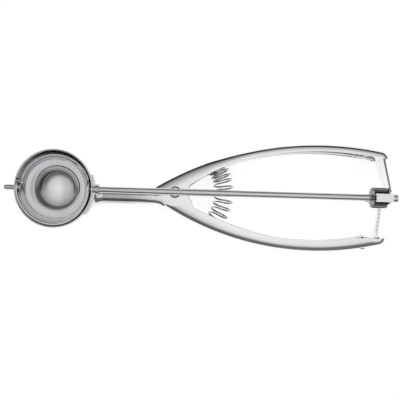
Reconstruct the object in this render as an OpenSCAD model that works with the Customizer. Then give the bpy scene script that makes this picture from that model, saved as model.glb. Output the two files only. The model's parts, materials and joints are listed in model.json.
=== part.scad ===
// Lever ice cream scoop: a squeezed handle turns a scraper blade in a round bowl.
// X runs from the bowl to the ends of the handles, Y across them, Z up out of the bowl.
// The drawing origin is the middle of the bowl's ball, on the axis of the scraper rod.

/* [Bowl] */
// Outside radius of the bowl
bowl_r = 23.5; // [20:0.5:30]
// Thickness of the bowl's wall
bowl_wall = 1.0; // [0.8:0.1:1.5]
// Height of the straight band above the rod's axis
rim_h = 3.0; // [1:0.5:5]

/* [Scraper] */
// Width of the scraper blade
blade_w = 11.0; // [8:0.5:14]
// Thickness of the scraper blade
blade_t = 0.9; // [0.6:0.1:1.2]
// Gap between the blade and the bowl
blade_gap = 0.4; // [0.3:0.05:0.6]
// Distance of the resting blade's upper edge below the rim
blade_drop = 0.45; // [0.3:0.05:1]
// Radius of the pivot pin at the front of the bowl
front_pin_r = 1.65; // [1.4:0.05:2]
// Length of the pivot pin outside the bowl
front_pin_out = 6.6; // [4:0.2:8]

/* [Rod] */
// Radius of the scraper rod
rod_r = 2.0; // [1.8:0.1:2.4]
// Distance from the bowl's middle to the end cap's outer face
rod_end_x = 205.7; // [200:0.1:207]
// Radius of the end cap
cap_r = 2.55; // [2.4:0.05:3]
// Length of the end cap
cap_len = 3.3; // [2.5:0.1:4]
// Radial running clearance of the rod and the pins
run_gap = 0.06; // [0.03:0.01:0.1]

/* [Stem] */
// Radius of the stem
stem_r = 4.8; // [4.2:0.1:5.2]
// Sideways offset of the stem from the rod
stem_y = -3.2; // [-4:0.1:-2.5]
// Thickness of the saddle on the bowl
saddle_t = 1.4; // [1:0.1:2]
// Width of the saddle
saddle_w = 24.0; // [18:0.5:28]
// Height of the saddle
saddle_h = 19.0; // [16:0.5:20]
// Place along the rod where the stem starts to flare
flare_x = 45.0; // [40:0.5:50]
// Place along the rod where the stem's flare meets the handle
socket_x = 60.0; // [58:0.5:61]

/* [Pivot] */
// Distance from the bowl's middle to the lever's pivot
pivot_x = 72.0; // [71:0.25:74]
// Radius of the rivet's shank
rivet_r = 2.5; // [2:0.1:3]
// Radius of the rivet's heads
rivet_head_r = 5.0; // [4:0.1:5.5]
// Radius of the round lugs of the fixed handle
lug_r = 8.75; // [8:0.25:9.5]

/* [Handles] */
// Thickness of the handles' sheet
sheet_t = 1.2; // [1:0.1:1.4]
// Breadth of the fixed handle
handle_b = 19.7; // [18:0.1:21]
// Side gap between the nested lugs
nest_gap = 0.2; // [0.15:0.05:0.3]
// Radius of the rounded edges along the handles
edge_r = 2.4; // [2:0.1:2.4]
// Radius of the fixed handle's long outer curve
top_r = 195.0; // [190:1:200]
// Radius of the lever's long outer curve
low_r = 174.5; // [170:0.5:180]
// Height of the fixed handle's folded sides at mid length
top_lip = 4.4; // [3.9:0.1:5.5]
// Height of the lever's folded sides at its end
low_lip = 3.9; // [3.8:0.1:5]
// Radius of the bend at the handles' ends
end_r = 4.9; // [4.9:0.1:6]

/* [Spring] */
// Radius from the pivot to the middle of the spring
coil_path_r = 30.0; // [28:0.5:32]
// Outside radius of the coil
coil_r = 6.25; // [5.5:0.05:6.5]
// Radius of the spring's wire
wire_r = 0.65; // [0.5:0.05:0.75]
// Number of turns
coil_turns = 10; // [8:1:11]

/* [Rack] */
// Number of teeth on the pinion
pinion_teeth = 14; // [12:1:16]
// Tooth module
tooth_m = 0.78; // [0.7:0.01:0.8]
// Width of the pinion along the rod
pinion_w = 8.4; // [6:0.1:9]
// Thickness of the toothed bar
rack_t = 1.8; // [1.5:0.1:2.2]
// Depth of the toothed bar, teeth included
rack_d = 4.5; // [4:0.1:5.5]
// Height of the bar's free end above the rod
rack_top_y = 6.4; // [5:0.1:8]
// Thickness of the rear bracket's sheet
bracket_t = 1.2; // [1:0.1:1.4]

/* [Hidden] */
$fn = 96;
eps = 0.01;
big = 400;

// Bowl and blade
bowl_in = bowl_r - bowl_wall;
blade_out = bowl_in - blade_gap;
blade_in = blade_out - blade_t;
blade_edge_r = sqrt(blade_out * blade_out - blade_w * blade_w / 4);
blade_tilt = atan(blade_w / 2 / blade_edge_r) - asin((rim_h - blade_drop) / blade_out);
blade_sweep = 180 - 2 * blade_tilt;
pin_tip_x = -bowl_r - front_pin_out;

// Whole object's middle
top_c = [163.0, -163.1];
low_c = [156.5, 140.0];
mid_x = (rod_end_x + pin_tip_x) / 2;
mid_y = (top_c.y + top_r + low_c.y - low_r) / 2;

// Layers of the nested handles
rod_over = 1.8;
top_z1 = -(rod_r + rod_over);
top_z0 = top_z1 - handle_b;
low_z1 = top_z1 - sheet_t - nest_gap;
low_z0 = top_z0 + sheet_t + nest_gap;
layer_z = (top_z1 + top_z0) / 2;
stem_z = top_z1 - stem_r;

// Lip lines of the folded sides
top_eye_r = 113.6;
top_eye_c = [147.6, -87.6];
top_eye_x = 125.0;
low_eye_r = 208.9;
low_eye_c = [176.0, 178.3];
low_lug_r = top_r - sheet_t - norm([top_c.x - pivot_x, top_c.y]) - 0.9;
low_front_x = 66.0;
socket_low_y = -8.2;

// Ends of the handles
end_face_x = 201.5;
top_end_x = end_face_x - end_r;
low_end_x = end_face_x - 0.4 - end_r;
top_end = [top_end_x, top_c.y + sqrt(pow(top_r - end_r, 2) - pow(top_end_x - top_c.x, 2))];
low_end = [low_end_x, low_c.y - sqrt(pow(low_r - end_r, 2) - pow(low_end_x - low_c.x, 2))];
top_end_a = atan2(top_end.y - top_c.y, top_end.x - top_c.x);
low_end_a = atan2(low_end.y - low_c.y, low_end.x - low_c.x);
plate_lap = 0.6;
seam = 0.02;
seam_a = 1;
fold_depth = 8.4;
top_sweep_a = 46;
low_front_a = -acos((low_front_x - low_c.x) / low_r);

// Gear pair
pitch_r = tooth_m * pinion_teeth / 2;
press_a = 25;
addendum = 0.85 * tooth_m;
dedendum = 1.05 * tooth_m;
thick_share = 0.86;
bracket_x1 = top_end_x + end_r - sheet_t;
bracket_x0 = bracket_x1 - bracket_t;
rack_gap = 0.4;
rack_r1 = bracket_x0 - rack_gap - pivot_x;
rack_r0 = rack_r1 - rack_t;
rack_mid_r = (rack_r0 + rack_r1) / 2;
rack_pitch_a = 180 * tooth_m / rack_mid_r;
rack_tip_z = -pitch_r + addendum;
rack_back_z = rack_tip_z - rack_d;
pinion_x0 = rack_r1 + pivot_x - pinion_w;
lever_travel = blade_sweep * pitch_r / rack_mid_r;

// Everything is drawn about the bowl's middle and then set with its foot on the ground.
module placed() {
    translate([-mid_x, -mid_y, bowl_r])
        children();
}

// A turned shape whose axis lies along the rod, starting at x.
module along_x(x) {
    translate([x, 0, 0])
        rotate([0, 90, 0])
            children();
}

// A profile swept about an upright axis at c, from angle a by span.
module swept(c, a, span) {
    translate([c.x, c.y, 0])
        rotate([0, 0, a])
            rotate_extrude(angle = span, $fn = 192)
                children();
}

// A flat outline drawn in plan, standing from z0 to z1.
module slab(z0, z1) {
    translate([0, 0, z0])
        linear_extrude(z1 - z0)
            children();
}

// ---- Bowl end ----

module bowl_outline(r) {
    intersection() {
        circle(r);
        translate([0, -r])
            square([r, r]);
    }
    square([r, rim_h]);
}

module bowl_shell() {
    difference() {
        bowl_outline(bowl_r);
        intersection() {
            circle(bowl_in);
            translate([0, -bowl_in])
                square([bowl_in, bowl_in]);
        }
        translate([0, -eps])
            square([bowl_in, rim_h + 1]);
    }
}

module bowl() {
    color("gainsboro")
        placed()
            difference() {
                rotate([0, 0, 90])
                    rotate_extrude()
                        bowl_shell();
                along_x(bowl_in - 2)
                    cylinder(r = bush_r, h = 4);
                along_x(-bowl_r - 2)
                    cylinder(r = front_pin_r + run_gap, h = 4);
            }
}

// Saddle: a shield-shaped piece of shell that follows the bowl behind the stem.
saddle_low_z = rim_h - 1.0 - saddle_h;

module saddle_outline() {
    intersection() {
        translate([stem_y - saddle_w / 2, saddle_low_z])
            square([saddle_w, saddle_h]);
        translate([stem_y, saddle_low_z + saddle_w / 2])
            circle(saddle_w / 2);
    }
    translate([stem_y - saddle_w / 2, saddle_low_z + saddle_w / 2])
        square([saddle_w, saddle_h - saddle_w / 2]);
}

module stem_saddle() {
    color("silver")
        placed()
            difference() {
                union() {
                    intersection() {
                        sphere(bowl_r + saddle_t);
                        rotate([90, 0, 90])
                            linear_extrude(bowl_r + saddle_t)
                                saddle_outline();
                    }
                    intersection() {
                        translate([0, stem_y, stem_z])
                            along_x(saddle_foot_x)
                                cylinder(r1 = stem_r + 3.2, r2 = stem_r + 0.3, h = saddle_boss);
                        translate([0, -big / 2, -bowl_r])
                            cube([big, big, bowl_r + rim_h - 1.0]);
                    }
                }
                rotate_extrude()
                    bowl_outline(bowl_r);
                translate([0, stem_y, stem_z])
                    along_x(0)
                        cylinder(r = stem_r, h = big);
                along_x(0)
                    cylinder(r = bush_r, h = big);
                along_x(bush_flange_x - 0.1)
                    cylinder(r = bush_flange_r + 0.15, h = big);
            }
}

saddle_foot_x = 19.5;
saddle_boss = 8.5;
bush_r = rod_r + 0.7;
bush_flange_r = rod_r + 1.3;
bush_flange_x = bowl_r + saddle_t + 0.2;
bush_flange_t = 1.6;

module front_bush() {
    color("dimgray")
        placed()
            difference() {
                union() {
                    along_x(bowl_in + 0.1)
                        cylinder(r = bush_r, h = bush_flange_x - bowl_in);
                    along_x(bush_flange_x)
                        cylinder(r = bush_flange_r, h = bush_flange_t);
                }
                along_x(0)
                    cylinder(r = rod_r + run_gap, h = big);
            }
}

// ---- Stem ----

module stem() {
    color("silver")
        placed()
            difference() {
                translate([0, stem_y, stem_z])
                    along_x(0)
                        cylinder(r = stem_r, h = flare_x);
                sphere(bowl_r);
                along_x(0)
                    cylinder(r = bush_flange_r + 0.15, h = bush_flange_x + bush_flange_t + 0.3);
            }
}

// The stem's flare runs from its round end out to the full section of the fixed handle,
// and a tang behind it plugs into the handle's channel.
neck_top_y = top_c.y + sqrt(top_r * top_r - pow(socket_x - top_c.x, 2));
tang_len = pivot_x - lug_r - socket_x - 0.4;
tang_in = sheet_t + 0.05;
neck_steps = 6;

function blend(a, b, t) = a + (b - a) * t * t * (3 - 2 * t);

// A thin slice of the flare, t of the way from the round stem to the handle's section.
module neck_slice(t) {
    y0 = blend(stem_y - stem_r, socket_low_y, t);
    y1 = blend(stem_y + stem_r, neck_top_y, t);
    z0 = blend(stem_z - stem_r, top_z0, t);
    r = blend(stem_r, edge_r, t);
    translate([flare_x + (socket_x - flare_x - eps) * t, 0, 0])
        rotate([90, 0, 90])
            linear_extrude(eps)
                for (y = [y0 + r, y1 - r])
                    for (z = [z0 + r, top_z1 - r])
                        translate([y, z])
                            circle(r, $fn = 32);
}

module stem_neck() {
    color("silver")
        placed() {
            for (i = [0:neck_steps - 1])
                hull() {
                    neck_slice(i / neck_steps);
                    neck_slice((i + 1) / neck_steps);
                }
            translate([socket_x - eps, socket_low_y + sheet_t, top_z0 + tang_in])
                cube([tang_len, neck_top_y - socket_low_y - 3 * sheet_t, handle_b - 2 * tang_in]);
        }
}

// ---- Handles ----

// A rectangle in radius and height whose two outer corners are rounded.
module round_edged(r0, r1, z0, z1, r) {
    difference() {
        translate([r0, z0])
            square([r1 - r0, z1 - z0]);
        translate([r1 - r, z1 - r])
            corner_waste(r);
        translate([r1 - r, z0 + r])
            mirror([0, 1])
                corner_waste(r);
    }
}

// What is cut off a square corner to leave a quarter round.
module corner_waste(r) {
    difference() {
        square(r + eps);
        circle(r);
    }
}

// Section of a folded channel: a back at radius r and two sides, depth high.
module channel(r, depth, z0, z1) {
    difference() {
        round_edged(r - depth, r, z0, z1, edge_r);
        round_edged(r - depth - 1, r - sheet_t, z0 + sheet_t, z1 - sheet_t, edge_r - sheet_t);
    }
}

module at(c) {
    translate([c.x, c.y])
        children();
}

module pivot_disc(r) {
    at([pivot_x, 0])
        circle(r);
}

// Plan of all that is folded away inside the fixed handle's lip.
module top_open() {
    difference() {
        union() {
            at(top_eye_c)
                circle(top_eye_r, $fn = 192);
            intersection() {
                at(top_c)
                    circle(top_r - top_lip, $fn = 192);
                translate([top_eye_x, -big / 2])
                    square([big, big]);
            }
        }
        pivot_disc(lug_r);
    }
}

module top_cheek() {
    intersection() {
        at(top_c)
            circle(top_r - edge_r - plate_lap, $fn = 192);
        polygon([
            [socket_x - 1, socket_low_y], [67.0, -9.4], [90.0, -9.4],
            [top_eye_x, 20.0], [top_eye_x, 33.0], [socket_x - 1, 33.0]
        ]);
    }
}

module fixed_handle() {
    color("gainsboro")
        placed()
            difference() {
                union() {
                    swept(top_c, top_end_a, top_sweep_a)
                        channel(top_r, fold_depth, top_z0, top_z1);
                    slab(top_z1 - sheet_t - seam, top_z1 - seam)
                        top_cheek();
                    slab(top_z0 + seam, top_z0 + sheet_t + seam)
                        top_cheek();
                    swept(top_end, 0, top_end_a + seam_a)
                        channel(end_r - seam, end_r - 2 * seam, top_z0 + seam, top_z1 - seam);
                }
                slab(top_z0 - 1, top_z1 + 1)
                    top_open();
                translate([socket_x - big, -big / 2, -big / 2])
                    cube([big, big, big]);
                translate([pivot_x, 0, top_z0 - 1])
                    cylinder(r = rivet_r, h = handle_b + 2);
                bracket_bores();
            }
}

// Plan of all that lies inside the lever's lip.
module low_open() {
    difference() {
        intersection() {
            at(low_eye_c)
                circle(low_eye_r, $fn = 192);
            at(low_c)
                circle(low_r - low_lip, $fn = 192);
        }
        pivot_disc(low_lug_r + seam);
    }
}

module low_cheek() {
    intersection() {
        at(low_c)
            circle(low_r - edge_r - plate_lap, $fn = 192);
        polygon([
            [low_front_x, -36.0], [130.0, -36.0], [130.0, -20.0],
            [82.0, low_lug_r + 1], [low_front_x, low_lug_r + 1]
        ]);
    }
    pivot_disc(low_lug_r);
}

module lever_handle() {
    color("gainsboro")
        placed()
            difference() {
                union() {
                    swept(low_c, low_front_a, low_end_a - low_front_a)
                        channel(low_r, fold_depth, low_z0, low_z1);
                    slab(low_z1 - sheet_t - seam, low_z1 - seam)
                        low_cheek();
                    slab(low_z0 + seam, low_z0 + sheet_t + seam)
                        low_cheek();
                    swept(low_end, low_end_a - seam_a, seam_a - low_end_a)
                        channel(end_r - seam, end_r - 2 * seam, low_z0 + seam, low_z1 - seam);
                }
                slab(low_z0 - 1, low_z1 + 1)
                    low_open();
                translate([pivot_x, 0, low_z0 - 1])
                    cylinder(r = rivet_r + run_gap, h = handle_b + 2);
                rack_bores();
            }
}

// ---- Pivot ----

rivet_head_h = 1.3;
head_ball_r = (rivet_head_r * rivet_head_r + rivet_head_h * rivet_head_h) / (2 * rivet_head_h);

module rivet_head() {
    intersection() {
        translate([0, 0, rivet_head_h - head_ball_r])
            sphere(head_ball_r);
        cylinder(r = rivet_head_r + 1, h = rivet_head_h + 1);
    }
}

module pivot_rivet() {
    color("silver")
        placed()
            translate([pivot_x, 0, 0]) {
                translate([0, 0, top_z1])
                    rivet_head();
                translate([0, 0, top_z0 - eps])
                    cylinder(r = rivet_r, h = handle_b + 2 * eps);
                translate([0, 0, top_z0 + sheet_t])
                    cylinder(r = rivet_r, h = 1);
            }
}

module pivot_spacer() {
    color("silver")
        placed()
            translate([pivot_x, 0, low_z0 + sheet_t + seam])
                difference() {
                    cylinder(r = rivet_r + 1.2, h = low_z1 - low_z0 - 2 * sheet_t - 2 * seam);
                    translate([0, 0, -1])
                        cylinder(r = rivet_r + run_gap, h = handle_b);
                }
}

// ---- Return spring ----

// Angle about the pivot at which a circle through the spring's middle meets a handle's back.
function wall_angle(c, r, side) =
    let (d = norm([c.x - pivot_x, c.y]))
    let (a = atan2(c.y, c.x - pivot_x))
    let (b = acos((d * d + coil_path_r * coil_path_r - r * r) / (2 * d * coil_path_r)))
    a + side * b;

top_wall_a = wall_angle(top_c, top_r - sheet_t, 1);
low_wall_a = wall_angle(low_c, low_r - sheet_t, -1);

seat_r = 6.0;
seat_t = 4.2;
turn_rings = 8;
seat_boss_r = (coil_r - wire_r) * cos(180 / turn_rings) - wire_r - 0.15;
seat_boss_h = 2.4;

// A turned seat whose face stands square to the spring's curved path; side is +1 or -1.
module spring_seat(face_a, side) {
    translate([pivot_x, 0, layer_z])
        rotate([0, 0, face_a])
            translate([coil_path_r, 0, 0])
                rotate([side * 90, 0, 0]) {
                    translate([0, 0, -3 * seat_t])
                        cylinder(r = seat_r, h = 3 * seat_t);
                    translate([0, 0, -seat_t / 2])
                        cylinder(r = seat_boss_r, h = seat_t / 2 + seat_boss_h);
                }
}

module fixed_spring_seat() {
    color("silver")
        placed()
            intersection() {
                spring_seat(top_wall_a - seat_span_a, 1);
                slab(top_z0, top_z1)
                    at(top_c)
                        circle(top_r - sheet_t, $fn = 192);
            }
}

module lever_spring_seat() {
    color("silver")
        placed()
            intersection() {
                spring_seat(low_wall_a + seat_span_a, -1);
                slab(top_z0, top_z1)
                    at(low_c)
                        circle(low_r - sheet_t, $fn = 192);
            }
}

// The wire is one tube of six sides that winds about a curved middle line.
wire_sides = 6;
seat_span_a = 2 * asin(seat_t / 2 / coil_path_r);
wire_seat_gap = 0.1;
leg = 2 * wire_r;
leg_a = 2 * asin((leg + wire_seat_gap) / 2 / coil_path_r);
coil_a0 = low_wall_a + seat_span_a + leg_a;
coil_a1 = top_wall_a - seat_span_a - leg_a;
wind_r = coil_r - wire_r;
crowd = 0.16;

// Share of the way along the path: turns lie closer at the fixed handle's end.
function spread(t) = t + crowd * t * (1 - t) * 1.6;

function coil_frame(a) = [
    [cos(a), sin(a), 0],
    [0, 0, 1],
    [-sin(a), cos(a), 0]
];

function coil_point(a, turn) =
    let (f = coil_frame(a))
    [pivot_x, 0, layer_z] + coil_path_r * f[0]
        + wind_r * (cos(turn) * f[0] + sin(turn) * f[1]);

coil_steps = coil_turns * turn_rings;
coil_points = [
    for (i = [0:coil_steps])
        coil_point(coil_a0 + (coil_a1 - coil_a0) * spread(i / coil_steps), i * 360 / turn_rings)
];
wire_points = concat(
    [coil_points[0] - leg * coil_frame(coil_a0)[2]],
    coil_points,
    [coil_points[coil_steps] + leg * coil_frame(coil_a1)[2]]
);
wire_count = len(wire_points);

function unit(v) = v / norm(v);

function wire_run(i) =
    i == 0 ? unit(wire_points[1] - wire_points[0])
    : i == wire_count - 1 ? unit(wire_points[i] - wire_points[i - 1])
    : unit(unit(wire_points[i + 1] - wire_points[i]) + unit(wire_points[i] - wire_points[i - 1]));

// Each ring is turned so that one corner points away from the coil's middle line.
function wire_out(i) =
    let (t = wire_run(i))
    let (k = min(max(i - 1, 0), coil_steps))
    let (f = coil_frame(coil_a0 + (coil_a1 - coil_a0) * spread(k / coil_steps)))
    let (w = k * 360 / turn_rings)
    let (n = cos(w) * f[0] + sin(w) * f[1])
    unit(n - (n * t) * t);

function wire_ring(i) =
    let (t = wire_run(i))
    let (u = wire_out(i))
    let (v = cross(t, u))
    [for (j = [0:wire_sides - 1])
        wire_points[i] + wire_r * (cos(j * 360 / wire_sides) * u + sin(j * 360 / wire_sides) * v)];

module return_spring() {
    rings = [for (i = [0:wire_count - 1]) each wire_ring(i)];
    last = (wire_count - 1) * wire_sides;
    side_faces = [
        for (i = [0:wire_count - 2])
            for (j = [0:wire_sides - 1])
                let (a = i * wire_sides + j)
                let (b = i * wire_sides + (j + 1) % wire_sides)
                each [[a, b + wire_sides, b], [a, a + wire_sides, b + wire_sides]]
    ];
    end_faces = [
        for (j = [1:wire_sides - 2])
            each [[0, j, j + 1], [last, last + j + 1, last + j]]
    ];
    color("dimgray")
        placed()
            polyhedron(points = rings, faces = concat(side_faces, end_faces));
}

// Least gap between one turn of the wire and the next.
coil_gap = min([
    for (i = [0:coil_steps - turn_rings + 2])
        for (j = [i + turn_rings - 2:min(i + turn_rings + 2, coil_steps)])
            norm(coil_points[i] - coil_points[j])
]) - 2 * wire_r;
echo(spring_gap = coil_gap);

// ---- Rear bracket ----

bracket_foot_a = 2.4;
bracket_foot_z = 5.2;
bracket_low_y = -3.4;
bracket_tip_z = 4.4;
bracket_top_z = 7.2;
tab_h = 4.8;
tab_z = 6.8;
tab_x = 190.3;
fastener_r = 1.2;
fastener_head_r = 2.1;
fastener_head_h = 0.7;
fastener_head_gap = 0.03;

module bracket_outline() {
    polygon([
        [bracket_low_y + 1, -bracket_tip_z], [bracket_low_y, -bracket_tip_z + 1],
        [bracket_low_y, bracket_tip_z - 1], [bracket_low_y + 1, bracket_tip_z],
        [4.0, bracket_tip_z], [top_end.y, layer_z + bracket_top_z],
        [top_end.y, layer_z - bracket_top_z], [4.0, -bracket_tip_z]
    ]);
}

module rear_bracket() {
    color("whitesmoke")
        placed()
            difference() {
                union() {
                    translate([bracket_x0, 0, 0])
                        rotate([90, 0, 90])
                            linear_extrude(bracket_t)
                                bracket_outline();
                    translate([bracket_x0, -tab_h / 2, 0])
                        cube([bracket_t, tab_h, tab_z + bracket_t]);
                    translate([tab_x, -tab_h / 2, tab_z])
                        cube([bracket_x1 - tab_x, tab_h, bracket_t]);
                    swept(top_end, -seam_a, top_end_a + 2 * seam_a)
                        translate([end_r - sheet_t - bracket_t - seam, layer_z - bracket_foot_z])
                            square([bracket_t, 2 * bracket_foot_z]);
                    swept(top_c, top_end_a, bracket_foot_a)
                        translate([top_r - sheet_t - bracket_t, layer_z - bracket_foot_z + seam])
                            square([bracket_t, 2 * (bracket_foot_z - seam)]);
                }
                along_x(bracket_x0 - 1)
                    cylinder(r = rear_bush_r, h = bracket_t + 2);
                bracket_bores();
                guide_bores();
            }
}

bracket_bore_x = 192.5;
bracket_bore_dz = 3.2;
bracket_bore_a = acos((bracket_bore_x - top_c.x) / top_r);

module on_top_back(r) {
    for (dz = [-bracket_bore_dz, bracket_bore_dz])
        translate([top_c.x, top_c.y, layer_z + dz])
            rotate([0, 0, bracket_bore_a])
                rotate([0, 90, 0])
                    translate([0, 0, r])
                        children();
}

module bracket_bores() {
    on_top_back(top_r - 5)
        cylinder(r = fastener_r, h = 10);
}

// A shank with a low head outside and a flat closed end inside.
module small_rivet(grip) {
    translate([0, 0, -grip - fastener_head_gap - fastener_head_h])
        cylinder(r = fastener_head_r, h = fastener_head_h);
    translate([0, 0, -grip - 2 * fastener_head_gap])
        cylinder(r = fastener_r, h = grip + 3 * fastener_head_gap);
    cylinder(r1 = fastener_head_r, r2 = fastener_head_r - 0.6, h = fastener_head_h);
}

module bracket_rivets() {
    color("silver")
        placed()
            on_top_back(top_r)
                small_rivet(sheet_t + bracket_t);
}

washer_t = 0.3;
rear_bush_r = rod_r + 0.8;
rear_bush_x0 = pinion_x0 + pinion_w + washer_t + 0.1;

module rear_bush() {
    color("dimgray")
        placed()
            difference() {
                union() {
                    along_x(rear_bush_x0)
                        cylinder(r = rear_bush_r, h = bracket_x1 + 0.8 - rear_bush_x0);
                    along_x(bracket_x1)
                        cylinder(r = rear_bush_r + 0.6, h = 0.8);
                }
                along_x(0)
                    cylinder(r = rod_r + run_gap, h = big);
            }
}

// Strap behind the toothed bar that keeps it in mesh.
guide_gap = 0.3;
guide_t = 1.2;
guide_z1 = rack_back_z - guide_gap;
guide_x1 = bracket_x1 + guide_t;

module rack_guide() {
    color("silver")
        placed()
            difference() {
                union() {
                    translate([pinion_x0 - 0.5, -tab_h / 2, guide_z1 - guide_t])
                        cube([guide_x1 - pinion_x0 + 0.5, tab_h, guide_t]);
                    translate([bracket_x1, -tab_h / 2, guide_z1 - guide_t])
                        cube([guide_t, tab_h, -guide_z1 + guide_t - rear_bush_r - 0.9]);
                }
                guide_bores();
            }
}

guide_bore_z = -rear_bush_r - 2.4;

module guide_bores() {
    translate([0, 0, guide_bore_z])
        along_x(bracket_x0 - 1)
            cylinder(r = 0.7, h = bracket_t + guide_t + 2);
}

module guide_rivets() {
    color("silver")
        placed()
            translate([0, 0, guide_bore_z]) {
                along_x(bracket_x0 - 0.25)
                    cylinder(r = 0.7, h = bracket_t + guide_t + 0.25);
                along_x(guide_x1)
                    cylinder(r1 = 1.2, r2 = 0.8, h = 0.5);
            }
}

// ---- Toothed bar on the lever ----

rack_foot_len = 11.0;
rack_foot_z0 = -17.0;
rack_foot_z1 = low_z1 - sheet_t - 0.9;
rack_neck_y = -21.5;
rack_low_y = low_c.y - sqrt(pow(low_r - sheet_t, 2) - pow(rack_mid_r + pivot_x - low_c.x - 3, 2));

// Side view of the bar: toothed edge, back and a foot that widens inside the channel.
module rack_outline() {
    polygon([
        [rack_top_y - 0.8, rack_tip_z], [rack_top_y, rack_tip_z - 0.8],
        [rack_top_y, rack_back_z + 0.8], [rack_top_y - 0.8, rack_back_z],
        [rack_neck_y + 2, rack_back_z], [rack_low_y + 2, rack_foot_z0],
        [rack_low_y - 3, rack_foot_z0], [rack_low_y - 3, low_z1 - sheet_t - 0.3],
        [rack_neck_y - 4, low_z1 - sheet_t - 0.3], [rack_neck_y - 2, rack_tip_z]
    ]);
}

// One gap of the toothed edge, straight-sided and open at the tips.
module rack_gap_outline() {
    half = 90 * tooth_m / 180 * PI * (2 - thick_share);
    lo = half - dedendum * tan(press_a);
    hi = half + (addendum + 1) * tan(press_a);
    polygon([
        [-lo, -pitch_r - dedendum], [lo, -pitch_r - dedendum],
        [hi, -pitch_r + addendum + 1], [-hi, -pitch_r + addendum + 1]
    ]);
}

rack_gaps = floor((lever_travel + 2 * asin(3.4 / rack_mid_r)) / rack_pitch_a) + 1;

module rack_bar() {
    color("whitesmoke")
        placed()
            difference() {
                union() {
                    intersection() {
                        swept([pivot_x, 0], -16, 20)
                            translate([rack_r0, -big / 8])
                                square([rack_t, big / 4]);
                        translate([pivot_x, 0, 0])
                            rotate([90, 0, 90])
                                linear_extrude(big)
                                    rack_outline();
                        slab(-big / 4, big / 4)
                            at(low_c)
                                circle(low_r - sheet_t, $fn = 192);
                    }
                    intersection() {
                        swept(low_c, low_end_a - 6, 8)
                            translate([low_r - sheet_t - rack_t, rack_foot_z0])
                                square([rack_t, rack_foot_z1 - rack_foot_z0]);
                        translate([rack_foot_x1 - rack_foot_len, -big, -big / 2])
                            cube([rack_foot_len, big, big]);
                    }
                }
                for (i = [0:rack_gaps])
                    translate([pivot_x, 0, 0])
                        rotate([0, 0, -(i - 2.5) * rack_pitch_a])
                            rotate([90, 0, 90])
                                translate([0, 0, rack_r0 - 1])
                                    linear_extrude(rack_t + 2)
                                        rack_gap_outline();
                rack_bores();
            }
}

rack_foot_x1 = pivot_x + rack_r1 * cos(asin(-rack_low_y / rack_r1));
rack_bore_x = rack_foot_x1 - rack_foot_len + 4.2;
rack_bore_a = -acos((rack_bore_x - low_c.x) / low_r);
rack_bore_z = [layer_z + 4.05, layer_z - 0.75];

module on_low_back(r) {
    for (z = rack_bore_z)
        translate([low_c.x, low_c.y, z])
            rotate([0, 0, rack_bore_a])
                rotate([0, 90, 0])
                    translate([0, 0, r])
                        children();
}

module rack_bores() {
    on_low_back(low_r - 5)
        cylinder(r = fastener_r, h = 10);
}

module rack_rivets() {
    color("silver")
        placed()
            on_low_back(low_r)
                small_rivet(sheet_t + rack_t);
}

// ---- Scraper rod and what turns with it ----

rod_step_x = blade_out + 0.1;
rod_step_r = rod_r - 0.5;
head_t = 0.9;
head_r = 2.6;
head_seat_x = sqrt(blade_in * blade_in - head_r * head_r);
nose_r = 0.9;

module scraper_rod() {
    color("silver")
        placed() {
            along_x(rod_step_x)
                cylinder(r = rod_r, h = rod_end_x - 1.0 - rod_step_x);
            along_x(head_seat_x - head_t / 2)
                cylinder(r = rod_step_r, h = rod_step_x - head_seat_x + head_t);
        }
}

// Section of the blade's shell, cut to a strip or to a round ear.
module blade_ring() {
    difference() {
        circle(blade_out);
        circle(blade_in);
    }
}

module blade_ear() {
    intersection() {
        rotate_extrude()
            intersection() {
                blade_ring();
                square([blade_w / 2, bowl_r]);
            }
        translate([-bowl_r, 0, 0])
            cube([2 * bowl_r, bowl_r, bowl_r]);
    }
}

// A strip of shell with round ears, standing against the bowl's wall on one side.
module scraper_blade() {
    color("gainsboro")
        placed()
            rotate([blade_tilt, 0, 0])
                difference() {
                    union() {
                        rotate([0, 0, 180])
                            rotate_extrude(angle = 180)
                                intersection() {
                                    blade_ring();
                                    translate([0, -blade_w / 2])
                                        square([bowl_r, blade_w]);
                                }
                        for (side = [-1, 1])
                            rotate([0, side * 90, 0])
                                blade_ear();
                    }
                    along_x(0)
                        cylinder(r = rod_step_r, h = bowl_r);
                    along_x(-bowl_r)
                        cylinder(r = front_pin_r, h = bowl_r);
                }
}

// Half section of the front pin: a rounded nose, the shank and the head inside the blade.
module front_pin_outline() {
    shank = -head_seat_x - pin_tip_x;
    translate([0, nose_r])
        square([front_pin_r, shank - nose_r + head_t / 2]);
    square([front_pin_r - nose_r, nose_r + eps]);
    translate([front_pin_r - nose_r, nose_r])
        intersection() {
            circle(nose_r, $fn = 48);
            translate([0, -nose_r])
                square([nose_r, nose_r + eps]);
        }
    translate([0, shank])
        square([head_r, head_t]);
}

module blade_front_pin() {
    color("silver")
        placed()
            along_x(pin_tip_x)
                rotate_extrude()
                    front_pin_outline();
}

module blade_rear_head() {
    color("silver")
        placed()
            difference() {
                along_x(head_seat_x - head_t)
                    cylinder(r = head_r, h = head_t);
                along_x(head_seat_x - head_t / 2)
                    cylinder(r = rod_step_r, h = head_t);
            }
}

// Involute flank: the point at radius r of a tooth centred on the x axis.
base_r = pitch_r * cos(press_a);

function involute(r) =
    let (c = base_r / max(r, base_r))
    let (a = acos(c))
    tan(a) * 180 / PI - a;

tooth_half_a = 90 / pinion_teeth * thick_share;

function flank_angle(r) = tooth_half_a + involute(pitch_r) - involute(r);

flank_steps = 4;
pinion_tip_r = pitch_r + addendum;
pinion_root_r = pitch_r - dedendum;
flank_radii = [
    for (i = [0:flank_steps])
        base_r + (pinion_tip_r - base_r) * i / flank_steps
];

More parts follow.
